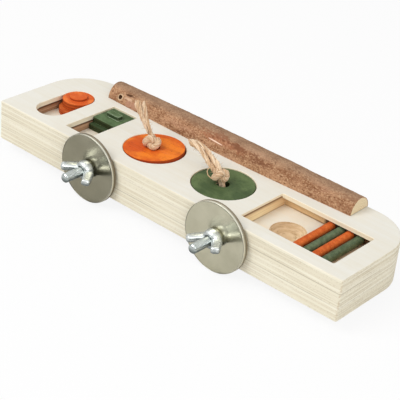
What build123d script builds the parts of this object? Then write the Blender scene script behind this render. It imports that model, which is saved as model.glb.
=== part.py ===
from build123d import *
import math
import os

# A foraging board with a natural perch, for small cage birds.
#
# Three plywood sheets are glued face to face. The core sheet has round wells
# for food. The top sheet has the openings over them: two slots with captive
# sliders, two round holes with lift-off lids, and a tray with loose rods. A
# half-round branch is screwed on behind as the perch. Two hanger bolts with
# dished washers and wing nuts clamp the board to the wires of the cage.
#
# X runs along the board, Y from its front face towards the perch, Z is up.
# The origin is on the front face, midway between the bolts, at half height.
# Every size is in millimetres.

# Plywood sheets
board_length = 275.5
board_depth = 76.5
sheet = 9.0
front_radius = 1.5
back_radius = 30.0
arris = 0.8
opening_arris = 0.4

# Heights of the glued faces
top_z = 1.5 * sheet
floor_z = 0.5 * sheet
core_z = -0.5 * sheet
bottom_z = -1.5 * sheet

# Food wells in the core sheet, cut with a round-nosed cutter
well_radius = 11.0
well_depth = 5.5
well_sphere = (well_radius**2 + well_depth**2) / (2 * well_depth)

# Walls left between the openings of the top sheet, from its left end to its right
left_end_wall = 18.35
slider_wall = 12.5
slider_lid_wall = 16.1
lid_wall = 16.8
lid_tray_wall = 10.9
right_end_wall = 13.85

# Openings in the top sheet, and the guide channels under their lips
row_y = 30.75
slider_lip = 3.2
slider_guide_height = sheet - slider_lip
guide_end = 3.4
guide_side = 0.6
tray_lip = 2.8
tray_guide_height = sheet - tray_lip
tray_guide_depth = 3.4

# Round slider and its slot
slot_width = 21.2
slot_length = 44.0

# Square slider and its opening
square_width = 20.8
square_length = 42.8
square_plate_length = 19.0
square_corner = 0.8

# Both sliders: a flange in the guide, a plate in the opening and a knob
flange_height = 3.9
round_plate_height = 5.2
square_plate_height = 3.9
round_knob_height = 1.7
square_knob_height = 3.0
knob_radius = 5.9
square_knob_width = 10.5
square_knob_length = 4.6
running_gap = 0.3
end_gap = 0.4
lift_gap = 0.2
flange_round = 0.8
edge_round = 0.4

# Lift-off lids
lid_radius = 19.3
lid_height = 8.5
lid_gap = 0.5
lid_seat_gap = 0.1
rope_hole_radius = 3.7
orange_lid_tilt = 3.2
green_lid_tilt = 0.0

# Sisal rope that each lid is lifted by
rope_diameter = 4.2
knot_radius = 5.2
knot_height = 8.4
knot_foot = 2.8
orange_knot_shift = -0.7
green_knot_shift = -2.4
stop_knot_radius = 4.2
stop_knot_seat = 3.2
stop_knot_gap = 0.3

# Tray with loose rods
tray_y = 29.8
tray_depth = 38.5
tray_corner = 1.0
tray_well_inset = 20.6
rod_diameter = 5.2
rod_end_gap = 0.5
rod_floor_gap = 0.1
rod_right_space = 7.6
rod_spaces = [1.9, 1.0, 1.7]
rod_chamfer = 0.5

# Perch: a half-round branch, thicker in the middle
perch_start = -97.7
perch_length = 197.7
perch_end_width = 8.9
perch_end_height = 9.1
perch_swell = 1.3
perch_stations = 5

# Wood screws that hold the perch from below
screw_diameter = 3.5
screw_length = 33.0
screw_head_diameter = 7.0
screw_point = 5.0
screw_spacing = 140.0
screw_gap = 0.05
recess_width = 1.0
recess_length = 4.2
recess_depth = 1.2

# Hanger bolts
bolt_x = 52.0
bolt_z = 1.3
bolt_diameter = 6.0
bolt_reach = 23.4
bolt_chamfer = 0.8
bolt_wood_diameter = 4.8
bolt_embed = 22.0
bolt_point = 5.0
bolt_gap = 0.05

# Dished washers
washer_radius = 22.3
washer_thickness = 1.4
washer_dish = 1.3
washer_gap = 0.2
washer_running = 0.1
washer_rim_round = 0.3

# Wing nuts
nut_gap = 0.1
nut_running = 0.05
hub_base_radius = 5.5
hub_top_radius = 4.7
hub_height = 5.6
wing_thickness = 3.6
wing_tip_radius = 2.9
wing_tip_out = 9.3
wing_tip_up = 10.9
wing_root_radius = 2.5
wing_root_out = 3.5
wing_root_up = 3.0
wing_round = 0.8

os.makedirs("parts", exist_ok=True)


def save(piece, name):
    """Label a finished piece and write it to its own file."""
    piece.label = name
    export_step(piece, f"parts/{name}.step")


# Places that several pieces share
lid_opening = lid_radius + lid_gap
round_x = -board_length / 2 + left_end_wall + slot_width / 2
square_x = round_x + slot_width / 2 + slider_wall + square_width / 2
orange_lid_x = square_x + square_width / 2 + slider_lid_wall + lid_opening
green_lid_x = orange_lid_x + lid_opening + lid_wall + lid_opening
tray_left = green_lid_x + lid_opening + lid_tray_wall
tray_right = board_length / 2 - right_end_wall
tray_width = tray_right - tray_left
tray_x = (tray_left + tray_right) / 2
round_plate_radius = slot_width / 2 - running_gap
round_y = row_y + slot_length / 2 - end_gap - round_plate_radius
square_y = row_y + square_length / 2 - end_gap - square_plate_length / 2
wells = [
    (round_x, round_y),
    (square_x, square_y),
    (orange_lid_x, row_y),
    (green_lid_x, row_y),
    (tray_left + tray_well_inset, tray_y),
    (tray_right - tray_well_inset, tray_y),
]
lid_places = [(orange_lid_x, row_y), (green_lid_x, row_y)]


def perch_swelling(along):
    """How much the branch swells at a share of its length."""
    return perch_swell * math.sin(math.pi * along)


def perch_centre_y(along):
    """The middle of the branch, whose back is in line with the board's."""
    return board_depth - perch_end_width - perch_swelling(along)


perch_middle = perch_start + perch_length / 2
screw_places = []
for screw_x in (perch_middle - screw_spacing / 2, perch_middle + screw_spacing / 2):
    screw_along = (screw_x - perch_start) / perch_length
    screw_places.append((screw_x, perch_centre_y(screw_along)))

# ---------------------------------------------------------------- plywood

with BuildSketch() as board_outline:
    Rectangle(board_length, board_depth, align=(Align.CENTER, Align.MIN))
    fillet(board_outline.vertices().group_by(Axis.Y)[0], front_radius)
    fillet(board_outline.vertices().group_by(Axis.Y)[-1], back_radius)

with BuildSketch() as openings:
    with Locations((round_x, row_y)):
        SlotOverall(slot_length, slot_width, rotation=90)
    with Locations((square_x, row_y)):
        RectangleRounded(square_width, square_length, square_corner)
    with Locations(*lid_places):
        Circle(lid_opening)
    with Locations((tray_x, tray_y)):
        RectangleRounded(tray_width, tray_depth, tray_corner)

with BuildSketch() as slider_guides:
    with Locations((round_x, row_y)):
        SlotOverall(slot_length + 2 * guide_end, slot_width + 2 * guide_side, rotation=90)
    with Locations((square_x, row_y)):
        Rectangle(square_width + 2 * guide_side, square_length + 2 * guide_end)

with BuildPart() as top_board:
    with BuildSketch(Plane.XY.offset(floor_z)):
        add(board_outline.sketch)
        add(openings.sketch, mode=Mode.SUBTRACT)
    extrude(amount=sheet)
    top_face = top_board.faces().sort_by(Axis.Z)[-1]
    fillet(top_face.outer_wire().edges(), arris)
    top_face = top_board.faces().sort_by(Axis.Z)[-1]
    fillet(top_face.inner_wires().edges(), opening_arris)
    with BuildSketch(Plane.XY.offset(floor_z)):
        add(slider_guides.sketch)
    extrude(amount=slider_guide_height, mode=Mode.SUBTRACT)
    with BuildSketch(Plane.XY.offset(floor_z)):
        with Locations((tray_x, tray_y)):
            Rectangle(tray_width, tray_depth + 2 * tray_guide_depth)
    extrude(amount=tray_guide_height, mode=Mode.SUBTRACT)
    with Locations(*[(x, y, floor_z + sheet / 2) for x, y in screw_places]):
        Hole(screw_diameter / 2 + screw_gap)
save(top_board.part, "top_board")

with BuildPart() as middle_board:
    with BuildSketch(Plane.XY.offset(core_z)):
        add(board_outline.sketch)
    extrude(amount=sheet)
    with Locations(*[(x, y, floor_z + well_sphere - well_depth) for x, y in wells]):
        Sphere(well_sphere, mode=Mode.SUBTRACT)
    with Locations(*[(x, y, 0) for x, y in screw_places]):
        Hole(screw_diameter / 2 + screw_gap)
    with BuildSketch(Plane.XZ):
        with Locations((-bolt_x, bolt_z), (bolt_x, bolt_z)):
            Circle(bolt_wood_diameter / 2 + bolt_gap)
    extrude(amount=-(bolt_embed + bolt_point + bolt_gap), mode=Mode.SUBTRACT)
save(middle_board.part, "middle_board")

with BuildPart() as bottom_board:
    with BuildSketch(Plane.XY.offset(bottom_z)):
        add(board_outline.sketch)
    extrude(amount=sheet)
    bottom_face = bottom_board.faces().sort_by(Axis.Z)[0]
    fillet(bottom_face.outer_wire().edges(), arris)
    with Locations(*[Location((x, y, bottom_z), (180, 0, 0)) for x, y in screw_places]):
        CounterSinkHole(screw_diameter / 2 + screw_gap, screw_head_diameter / 2 + screw_gap)
save(bottom_board.part, "bottom_board")

# ---------------------------------------------------------------- perch

with BuildPart() as perch:
    for station in range(perch_stations):
        along = station / (perch_stations - 1)
        swelling = perch_swelling(along)
        centre = (perch_start + along * perch_length, perch_centre_y(along), top_z)
        with BuildSketch(Plane(origin=centre, x_dir=(0, 1, 0), z_dir=(1, 0, 0))):
            Ellipse(perch_end_width + swelling, perch_end_height + swelling)
    loft()
    split(bisect_by=Plane.XY.offset(top_z), keep=Keep.TOP)
    with Locations(*[Location((x, y, top_z), (180, 0, 0)) for x, y in screw_places]):
        Hole(screw_diameter / 2 + screw_gap, screw_length - 3 * sheet + screw_gap)
save(perch.part, "perch")

with BuildPart() as perch_screws:
    head_height = (screw_head_diameter - screw_diameter) / 2
    for x, y in screw_places:
        with BuildSketch(Plane(origin=(x, y, bottom_z), x_dir=(1, 0, 0), z_dir=(0, -1, 0))):
            with BuildLine():
                Polyline(
                    (0, 0),
                    (screw_head_diameter / 2, 0),
                    (screw_diameter / 2, head_height),
                    (screw_diameter / 2, screw_length - screw_point),
                    (0, screw_length),
                    close=True,
                )
            make_face()
        revolve(axis=Axis((x, y, bottom_z), (0, 0, 1)))
        with BuildSketch(Plane.XY.offset(bottom_z)):
            with Locations((x, y)):
                Rectangle(recess_length, recess_width)
                Rectangle(recess_width, recess_length)
        extrude(amount=recess_depth, mode=Mode.SUBTRACT)
save(perch_screws.part, "perch_screws")

# ---------------------------------------------------------------- sliders

flange_z = floor_z + lift_gap
plate_z = flange_z + flange_height
flange_reach = guide_end - end_gap
plate_width = square_width - 2 * running_gap


def make_layer(outline, base_z, height, rounding, name):
    """One layer of a slider, with its upper edges rounded."""
    with BuildPart() as layer:
        with BuildSketch(Plane.XY.offset(base_z)):
            add(outline.sketch)
        extrude(amount=height)
        fillet(layer.faces().sort_by(Axis.Z)[-1].edges(), rounding)
    save(layer.part, name)


with BuildSketch() as round_flange:
    with Locations((round_x, round_y)):
        SlotOverall(
            2 * (round_plate_radius + flange_reach),
            2 * (round_plate_radius + guide_side),
            rotation=90,
        )
with BuildSketch() as round_plate:
    with Locations((round_x, round_y)):
        Circle(round_plate_radius)
with BuildSketch() as round_knob:
    with Locations((round_x, round_y)):
        Circle(knob_radius)
make_layer(round_flange, flange_z, flange_height, flange_round, "round_slider_flange")
make_layer(round_plate, plate_z, round_plate_height, edge_round, "round_slider_plate")
round_knob_z = plate_z + round_plate_height
make_layer(round_knob, round_knob_z, round_knob_height, edge_round, "round_slider_knob")

with BuildSketch() as square_flange:
    with Locations((square_x, square_y)):
        RectangleRounded(
            plate_width + 2 * guide_side,
            square_plate_length + 2 * flange_reach,
            square_corner,
        )
with BuildSketch() as square_plate:
    with Locations((square_x, square_y)):
        RectangleRounded(plate_width, square_plate_length, square_corner)
with BuildSketch() as square_knob:
    with Locations((square_x, square_y)):
        RectangleRounded(square_knob_width, square_knob_length, square_corner)
make_layer(square_flange, flange_z, flange_height, flange_round, "square_slider_flange")
make_layer(square_plate, plate_z, square_plate_height, edge_round, "square_slider_plate")
square_knob_z = plate_z + square_plate_height
make_layer(square_knob, square_knob_z, square_knob_height, edge_round, "square_slider_knob")

# ---------------------------------------------------------------- lids

# Each rope rises from its stop knot through the lid and leans towards the
# round slider. Its points are (sideways, up) from the middle of the lid's top.
orange_route = [
    (0.0, -lid_height),
    (0.0, -2.4),
    (-1.2, 3.7),
    (-4.3, 9.3),
    (-7.8, 14.7),
    (-10.7, 20.4),
    (-13.0, 26.3),
]
green_route = [
    (0.0, -lid_height),
    (0.0, -3.4),
    (-1.5, 1.9),
    (-4.6, 6.5),
    (-9.0, 9.9),
    (-13.7, 12.8),
    (-18.5, 15.3),
    (-23.7, 16.7),
    (-28.6, 16.5),
]


def arc_radii(points):
    """The arc at each inner point: 0.45 of its shorter run, over the tangent of half its turn."""
    radii = []
    for before, here, after in zip(points, points[1:], points[2:]):
        run_in = Vector(*here) - Vector(*before)
        run_out = Vector(*after) - Vector(*here)
        half_turn = math.radians(run_in.get_angle(run_out)) / 2
        radii.append(0.45 * min(run_in.length, run_out.length) / math.tan(half_turn))
    return radii


def make_lid(colour, lid_x, tilt, route, knot_shift):
    """A lid with its rope, its knot and the stop knot under it, tipped about Y."""
    slope = math.radians(tilt)
    across = (math.cos(slope), 0, math.sin(slope))
    upright = (-math.sin(slope), 0, math.cos(slope))
    rise = lid_radius * math.sin(slope)
    underside = Plane(
        origin=(lid_x, row_y, floor_z + lid_seat_gap + rise), x_dir=across, z_dir=upright
    )
    topside = underside.offset(lid_height)
    profile = Plane(origin=topside.origin, x_dir=across, z_dir=(0, -1, 0))
    lid_axis = Axis(topside.origin, upright)

    with BuildPart() as lid:
        with BuildSketch(underside):
            Circle(lid_radius)
            Circle(rope_hole_radius, mode=Mode.SUBTRACT)
        extrude(amount=lid_height)
        fillet(lid.faces().sort_by(lid_axis)[-1].edges(), edge_round)
        fillet(lid.faces().sort_by(lid_axis)[0].edges(), edge_round)
    save(lid.part, f"{colour}_lid")

    with BuildPart() as rope:
        with BuildLine(profile) as rope_line:
            FilletPolyline(*route, radius=arc_radii(route))
        with BuildSketch(Plane(origin=topside.origin - lid_height * Vector(*upright), z_dir=upright)):
            Circle(rope_diameter / 2)
        sweep(path=rope_line.wires()[0])
    save(rope.part, f"{colour}_rope")
    expected = math.pi * rope_diameter**2 / 4 * rope_line.wires()[0].length
    print(colour, "rope length", round(rope_line.wires()[0].length, 2), "mm")
    print(colour, "rope radii", [round(radius, 1) for radius in arc_radii(route)])
    print(colour, "rope volume share", round(rope.part.volume / expected, 4))

    knot_profile = profile.shift_origin(profile.from_local_coords((knot_shift, 0)))
    with BuildPart() as knot:
        with BuildSketch(knot_profile):
            with BuildLine():
                ThreePointArc(
                    (knot_foot, 0),
                    (knot_radius, knot_height / 2),
                    (knot_foot, knot_height),
                )
                Polyline((knot_foot, knot_height), (0, knot_height), (0, 0), (knot_foot, 0))
            make_face()
        revolve(axis=Axis(knot_profile.origin, upright))
    save(knot.part, f"{colour}_knot")

    hang = well_depth + lid_seat_gap + rise - stop_knot_gap
    with BuildPart() as stop_knot:
        with BuildSketch(profile):
            with BuildLine():
                Line((0, -lid_height), (stop_knot_seat, -lid_height))
                ThreePointArc(
                    (stop_knot_seat, -lid_height),
                    (stop_knot_radius, -lid_height - hang / 3),
                    (stop_knot_seat / 2, -lid_height - hang),
                )
                Line((stop_knot_seat / 2, -lid_height - hang), (0, -lid_height - hang))
                Line((0, -lid_height - hang), (0, -lid_height))
            make_face()
        revolve(axis=lid_axis)
    save(stop_knot.part, f"{colour}_stop_knot")


make_lid("orange", orange_lid_x, orange_lid_tilt, orange_route, orange_knot_shift)
make_lid("green", green_lid_x, green_lid_tilt, green_route, green_knot_shift)

# ---------------------------------------------------------------- rods

rod_length = tray_depth + 2 * (tray_guide_depth - rod_end_gap)
rod_z = floor_z + rod_floor_gap + rod_diameter / 2
rod_count = len(rod_spaces) + 1
rod_x = tray_right - rod_right_space - rod_diameter / 2
for number in range(rod_count, 0, -1):
    with BuildPart() as rod:
        with BuildSketch(Plane.XZ.offset(-(tray_y - rod_length / 2))):
            with Locations((rod_x, rod_z)):
                Circle(rod_diameter / 2)
        extrude(amount=-rod_length)
        chamfer(rod.edges(), rod_chamfer)
    save(rod.part, f"rod_{number}")
    if number > 1:
        rod_x -= rod_diameter + rod_spaces[number - 2]

# ---------------------------------------------------------------- clamps


def washer_curve(radius):
    """How far the dished washer stands forward at a radius."""
    return washer_dish * (radius / washer_radius) ** 2


def make_washer(centre_x, back):
    """A washer that is dished towards the front, with its back at that distance."""
    hole = bolt_diameter / 2 + washer_running
    middle = (hole + washer_radius) / 2
    with BuildPart() as washer:
        section_plane = Plane(origin=(centre_x, -back, bolt_z), x_dir=(1, 0, 0), z_dir=(0, 0, -1))
        with BuildSketch(section_plane) as section:
            with BuildLine():
                faces = []
                for face in (0, washer_thickness):
                    faces.append([(r, face + washer_curve(r)) for r in (hole, middle, washer_radius)])
                ThreePointArc(*faces[0])
                Line(faces[0][2], faces[1][2])
                ThreePointArc(*faces[1])
                Line(faces[1][0], faces[0][0])
            make_face()
            fillet(section.vertices().group_by(Axis.X)[-1], washer_rim_round)
        revolve(axis=Axis((centre_x, 0, bolt_z), (0, 1, 0)))
    return washer.part


outer_back = washer_thickness + washer_gap
hub_edge = washer_curve(hub_base_radius)
nut_back = outer_back + washer_thickness + hub_edge + nut_gap

for side, centre_x in (("left", -bolt_x), ("right", bolt_x)):
    bolt_axis = Axis((centre_x, 0, bolt_z), (0, 1, 0))
    with BuildPart() as hanger_bolt:
        with BuildSketch(Plane(origin=(centre_x, 0, bolt_z), x_dir=(1, 0, 0), z_dir=(0, 0, -1))):
            with BuildLine():
                Polyline(
                    (0, bolt_reach),
                    (bolt_diameter / 2 - bolt_chamfer, bolt_reach),
                    (bolt_diameter / 2, bolt_reach - bolt_chamfer),
                    (bolt_diameter / 2, 0),
                    (bolt_wood_diameter / 2, 0),
                    (bolt_wood_diameter / 2, -bolt_embed),
                    (0, -bolt_embed - bolt_point),
                    close=True,
                )
            make_face()
        revolve(axis=bolt_axis)
    save(hanger_bolt.part, f"hanger_bolt_{side}")

    save(make_washer(centre_x, 0), f"inner_washer_{side}")
    save(make_washer(centre_x, outer_back), f"outer_washer_{side}")

    nut_plane = Plane(origin=(centre_x, -nut_back, bolt_z), x_dir=(1, 0, 0), z_dir=(0, 0, -1))
    with BuildPart() as wing_nut:
        with BuildSketch(nut_plane):
            for way in (-1, 1):
                with BuildSketch(mode=Mode.PRIVATE) as wing_outline:
                    with Locations((way * wing_tip_out, wing_tip_up)):
                        Circle(wing_tip_radius)
                    with Locations((way * wing_root_out, wing_root_up)):
                        Circle(wing_root_radius)
                    make_hull()
                add(wing_outline.sketch)
        extrude(amount=wing_thickness / 2, both=True)
        fillet(wing_nut.edges().group_by(Axis.Z)[0], wing_round)
        fillet(wing_nut.edges().group_by(Axis.Z)[-1], wing_round)
        with BuildSketch(nut_plane):
            with BuildLine():
                Polyline(
                    (0, 0),
                    (hub_base_radius, 0),
                    (hub_top_radius, hub_height),
                    (0, hub_height),
                    close=True,
                )
            make_face()
        revolve(axis=bolt_axis)
        with BuildSketch(Plane.XZ):
            with Locations((centre_x, bolt_z)):
                Circle(bolt_diameter / 2 + nut_running)
        extrude(amount=bolt_reach, mode=Mode.SUBTRACT)
    save(wing_nut.part, f"wing_nut_{side}")
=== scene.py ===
import math
import random
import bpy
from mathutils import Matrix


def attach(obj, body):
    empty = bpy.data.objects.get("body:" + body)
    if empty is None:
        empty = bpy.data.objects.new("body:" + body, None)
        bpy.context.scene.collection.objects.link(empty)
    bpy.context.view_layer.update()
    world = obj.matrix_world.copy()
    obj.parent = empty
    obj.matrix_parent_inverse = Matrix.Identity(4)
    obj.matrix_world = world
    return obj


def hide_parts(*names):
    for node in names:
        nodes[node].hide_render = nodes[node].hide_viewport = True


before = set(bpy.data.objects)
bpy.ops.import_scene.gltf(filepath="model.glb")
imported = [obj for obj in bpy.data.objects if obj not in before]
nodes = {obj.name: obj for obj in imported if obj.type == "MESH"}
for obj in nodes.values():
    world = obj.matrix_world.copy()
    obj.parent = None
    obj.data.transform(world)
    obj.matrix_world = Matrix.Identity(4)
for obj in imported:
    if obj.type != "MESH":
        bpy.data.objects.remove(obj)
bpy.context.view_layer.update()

from types import SimpleNamespace

import bmesh
import bpy
import numpy as np
from mathutils import Matrix, Vector, noise

# The looks of a plywood foraging board for cage birds. Sizes are in metres where no
# comment gives a unit, with X along the board, Y from its front face to the perch and Z up.

MM = 0.001

# ---- sizes shared by pieces

BOLT_X = 0.052
BOLT_Z = 0.0013
BOLT_RADIUS = 0.0030
BOLT_REACH = 0.0234
BOLT_CHAMFER = 0.0008
THREAD_PITCH = 0.0010
THREAD_DEPTH = 0.00014
BOLT_WOOD_RADIUS = 0.0024
WOOD_THREAD_PITCH = 0.002
WOOD_THREAD_DEPTH = 0.0005
BOLT_EMBED = 0.022
BOLT_POINT = 0.005
WASHER_HOLE = 0.0031
WASHER_RIM = 0.0223
WASHER_THICK = 0.0014
WASHER_DISH = 0.0013
WASHER_ROUNDING = 0.00035
OUTER_WASHER_FORWARD = 0.0016

# ---- camera

CAMERA_AT = (0.4272, -0.48685, 0.3771)
CAMERA_RIGHT = (0.7407, 0.6664, 0.0852)
CAMERA_FORWARD = (-0.5460, 0.6710, -0.5017)
LENS = 113.6
SHIFT_X = 0.0165
SHIFT_Y = 0.0077


def place_in_scene(name, data):
    """A new object for a mesh, curve, lamp or camera."""
    made = bpy.data.objects.new(name, data)
    bpy.context.scene.collection.objects.link(made)
    return made


def make_camera():
    """A long lens above the tray end of the front face, rolled a little."""
    camera = place_in_scene("camera", bpy.data.cameras.new("camera"))
    forward = Vector(CAMERA_FORWARD).normalized()
    up = Vector(CAMERA_RIGHT).cross(forward).normalized()
    right = forward.cross(up)
    turned = Matrix((right, up, -forward)).transposed()
    camera.matrix_world = Matrix.Translation(CAMERA_AT) @ turned.to_4x4()
    camera.data.lens = LENS
    camera.data.sensor_width = 36
    camera.data.shift_x = SHIFT_X
    camera.data.shift_y = SHIFT_Y
    camera.data.clip_start = 0.01
    camera.data.clip_end = 20
    bpy.context.scene.camera = camera


make_camera()

# ---- mesh building


class Skin:
    """Collects the points of one mesh, and its faces with their finishes and lengthwise
    coordinates."""

    def __init__(self):
        self.points = []
        self.faces = []
        self.finish = []
        self.along = []

    def grid(self, rows, closed=True, finish=0, along=None, tone=0):
        """Joins rows of points, each row a ring when closed, into four-sided faces."""
        start = len(self.points)
        width = len(rows[0])
        for row in rows:
            self.points.extend(row)
        for i in range(len(rows) - 1):
            for j in range(width if closed else width - 1):
                k = (j + 1) % width
                corners = [(i, j), (i, k), (i + 1, k), (i + 1, j)]
                self.faces.append([start + a * width + b for a, b in corners])
                self.finish.append(finish)
                if along is None:
                    self.along.append([(0.0, 0.0)] * 4)
                else:
                    across = [tone + c / width for c in (j, j + 1, j + 1, j)]
                    self.along.append([(along[a], c) for (a, _), c in zip(corners, across)])
        return start

    def cap(self, start, count, centre, finish=0, flip=False, at=0.0):
        """Closes a ring, count points from number start on, with a fan about a centre point."""
        middle = len(self.points)
        self.points.append(centre)
        for j in range(count):
            a = start + j
            b = start + (j + 1) % count
            self.faces.append([b, a, middle] if flip else [a, b, middle])
            self.finish.append(finish)
            self.along.append([(at, 0.0)] * 3)

    def piece(self, name, materials):
        """The finished object, with a coordinate layer that runs along each strand."""
        mesh = bpy.data.meshes.new(name)
        mesh.from_pydata([tuple(p) for p in self.points], [], self.faces)
        layer = mesh.uv_layers.new(name="strand")
        flat = [c for face in self.along for corner in face for c in corner]
        layer.data.foreach_set("uv", flat)
        mesh.polygons.foreach_set("material_index", self.finish)
        mesh.polygons.foreach_set("use_smooth", [True] * len(self.faces))
        for material in materials:
            mesh.materials.append(material)
        mesh.update()
        return place_in_scene(name, mesh)


def ring_about_y(centre, radii):
    """Points spaced evenly round an axis along Y, at the given radii."""
    x, y, z = centre
    ring = []
    for j, radius in enumerate(radii):
        angle = 2 * math.pi * j / len(radii)
        ring.append(Vector((x + radius * math.cos(angle), y, z + radius * math.sin(angle))))
    return ring


def travelling_frames(points, start_side=None):
    """Tangent and two side directions at each point of a line, carried along without twist."""
    points = [Vector(p) for p in points]
    tangents = []
    for i in range(len(points)):
        ahead = points[min(i + 1, len(points) - 1)] - points[max(i - 1, 0)]
        tangents.append(ahead.normalized())
    side = Vector(start_side) if start_side else tangents[0].orthogonal()
    frames = []
    for tangent in tangents:
        side = (side - tangent * side.dot(tangent)).normalized()
        frames.append((tangent, side, tangent.cross(side)))
    return frames


def turned_side(side, other, angle):
    """The direction at an angle round a line, from its two side directions."""
    return side * math.cos(angle) + other * math.sin(angle)


def distances(points):
    """How far along a line each of its points is."""
    total = [0.0]
    for a, b in zip(points, points[1:]):
        total.append(total[-1] + (Vector(b) - Vector(a)).length)
    return total


def resample(points, count):
    """The same line through evenly spaced points."""
    far = distances(points)
    spots = np.linspace(0, far[-1], count)
    table = np.array([tuple(p) for p in points])
    columns = [np.interp(spots, far, table[:, i]) for i in range(3)]
    return [Vector(p) for p in zip(*columns)]


STRAND_GROOVES = 3
STRAND_GROOVE_DEPTH = 0.14


def add_strand(skin, points, radii, sides=10, turns=0.0, tone=0):
    """A round strand along a line, grooved as if it were twisted from yarns when it has turns.
    tone is a whole number that sets its shade."""
    frames = travelling_frames(points)
    groove_depth = STRAND_GROOVE_DEPTH if turns else 0.0
    far = distances(points)
    rows = []
    for centre, (_, side, other), radius, share in zip(points, frames, radii, far):
        lead = 2 * math.pi * turns * share / max(far[-1], 1e-9)
        ring = []
        for j in range(sides):
            angle = 2 * math.pi * j / sides
            swell = 1 + groove_depth * math.cos(STRAND_GROOVES * angle + lead)
            ring.append(centre + turned_side(side, other, angle) * radius * swell)
        rows.append(ring)
    start = skin.grid(rows, along=far, tone=tone)
    last = start + (len(rows) - 1) * sides
    skin.cap(start, sides, points[0], flip=True, at=far[0])
    skin.cap(last, sides, points[-1], at=far[-1])


# ---- the ropes

ROW_Y = 0.03075
FLOOR_Z = 0.0045
LID_RADIUS = 0.0193
LID_HEIGHT = 0.0085
LID_SEAT_GAP = 0.0001
ORANGE_LID_X = -0.0290
GREEN_LID_X = 0.0274
ORANGE_TILT = 3.2
ROPE_ACROSS = (0.66, 0.75, 0.0)

# Points of each rope, sideways and up from the middle of the lid's top
ORANGE_ROUTE = [
    (0.0, -0.0085),
    (0.0, -0.0024),
    (-0.0012, 0.0037),
    (-0.0043, 0.0093),
    (-0.0078, 0.0147),
    (-0.0107, 0.0204),
    (-0.0134, 0.0276),
]
GREEN_ROUTE = [
    (0.0, -0.0085),
    (0.0, -0.0034),
    (-0.0015, 0.0019),
    (-0.0046, 0.0065),
    (-0.0090, 0.0099),
    (-0.0137, 0.0128),
    (-0.0185, 0.0153),
    (-0.0237, 0.0167),
    (-0.0286, 0.0165),
]


def lid_top(lid_x, tilt):
    """The lid's own frame: sideways, back and up from the middle of its top."""
    slope = math.radians(tilt)
    rise = LID_RADIUS * math.sin(slope)
    foot = Vector((lid_x, ROW_Y, FLOOR_Z + LID_SEAT_GAP + rise))
    turned = Matrix.Rotation(-slope, 4, "Y")
    return Matrix.Translation(foot) @ turned @ Matrix.Translation((0, 0, LID_HEIGHT))


def rope_line(name, route, frame_of_lid):
    """Points along the smooth line of a rope, from its route."""
    curve = bpy.data.curves.new(name, "CURVE")
    curve.dimensions = "3D"
    curve.resolution_u = 12
    spline = curve.splines.new("NURBS")
    spline.points.add(len(route) - 1)
    for point, (sideways, up) in zip(spline.points, route):
        point.co = (*(frame_of_lid @ Vector((sideways, 0, up))), 1)
    spline.order_u = 3
    spline.use_endpoint_u = True
    holder = place_in_scene(name, curve)
    bpy.context.view_layer.update()
    drawn = bpy.data.meshes.new_from_object(holder)
    points = [v.co.copy() for v in drawn.vertices]
    bpy.data.objects.remove(holder)
    bpy.data.meshes.remove(drawn)
    return points


orange_top = lid_top(ORANGE_LID_X, ORANGE_TILT)
green_top = lid_top(GREEN_LID_X, 0.0)
orange_line = resample(rope_line("orange_line", ORANGE_ROUTE, orange_top), 90)
green_line = resample(rope_line("green_line", GREEN_ROUTE, green_top), 100)


YARN_FIBRES = 7
YARN_TURNS = 1.6
YARN_REACH = 0.64
YARN_CORE_REACH = 0.2
FIBRE_SHARE = 0.39
# The outer fibres end between these shares of the yarn, and flare out from FLARE_FROM on
FIBRE_ENDS = (0.965, 1.0)
FLARE_FROM = 0.86
FLARE = 0.55
# How much of its thickness a fibre keeps at its last, last but one and third last point
TIP_TAPER = ((1, 0.35), (2, 0.7), (3, 0.9))


def add_yarn(skin, centres, radii, seed):
    """Fine strands laid side by side round a line, as one soft yarn with a frayed tip."""
    draw = random.Random(seed)
    frames = travelling_frames(centres, start_side=ROPE_ACROSS)
    count = len(centres)
    for fibre in range(YARN_FIBRES):
        start = 2 * math.pi * fibre / YARN_FIBRES
        reach = YARN_REACH if fibre else YARN_CORE_REACH
        stop = count if fibre < 3 else int(count * draw.uniform(*FIBRE_ENDS))
        line = []
        thick = []
        for i in range(stop):
            share = i / (count - 1)
            _, side, other = frames[i]
            angle = start + 2 * math.pi * YARN_TURNS * share
            wander = 1.5 * noise.noise(Vector((share * 12, fibre * 3.7, seed)))
            parted = FLARE * max(0.0, share - FLARE_FROM) / (1 - FLARE_FROM)
            flare = 1 + parted * draw.uniform(0.8, 1.2)
            away = radii[i] * reach * (1 + 0.3 * wander) * flare
            line.append(centres[i] + turned_side(side, other, angle) * away)
            fray = 1 + 0.18 * noise.noise(Vector((share * 24, fibre * 9.1, seed + 3)))
            thick.append(radii[i] * FIBRE_SHARE * fray)
        for i, keep in TIP_TAPER:
            thick[-i] *= keep
        add_strand(skin, line, thick, turns=2.5, tone=1 + seed + fibre)


def laid_rope(name, line, yarns):
    """Yarns laid round a line, each one a row of a table of yarns."""
    skin = Skin()
    frames = travelling_frames(line, start_side=ROPE_ACROSS)
    shares = np.linspace(0, 1, len(line))
    for number, (turning, spread, thickness, reach) in enumerate(yarns):
        angles = np.interp(shares, *turning)
        away = np.interp(shares, *spread) * MM
        thick = np.interp(shares, *thickness) * MM
        last = int(len(line) * reach)
        centres = []
        for i in range(last):
            _, side, other = frames[i]
            angle = 2 * math.pi * angles[i]
            centres.append(line[i] + turned_side(side, other, angle) * away[i])
        add_yarn(skin, centres, thick[:last], seed=number * 11 + len(line))
    return skin.piece(name, [])


KNOT_STEPS = 170
KNOT_TURNS = 5
KNOT_SPREAD = 0.78
KNOT_HEART = 0.62


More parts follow.
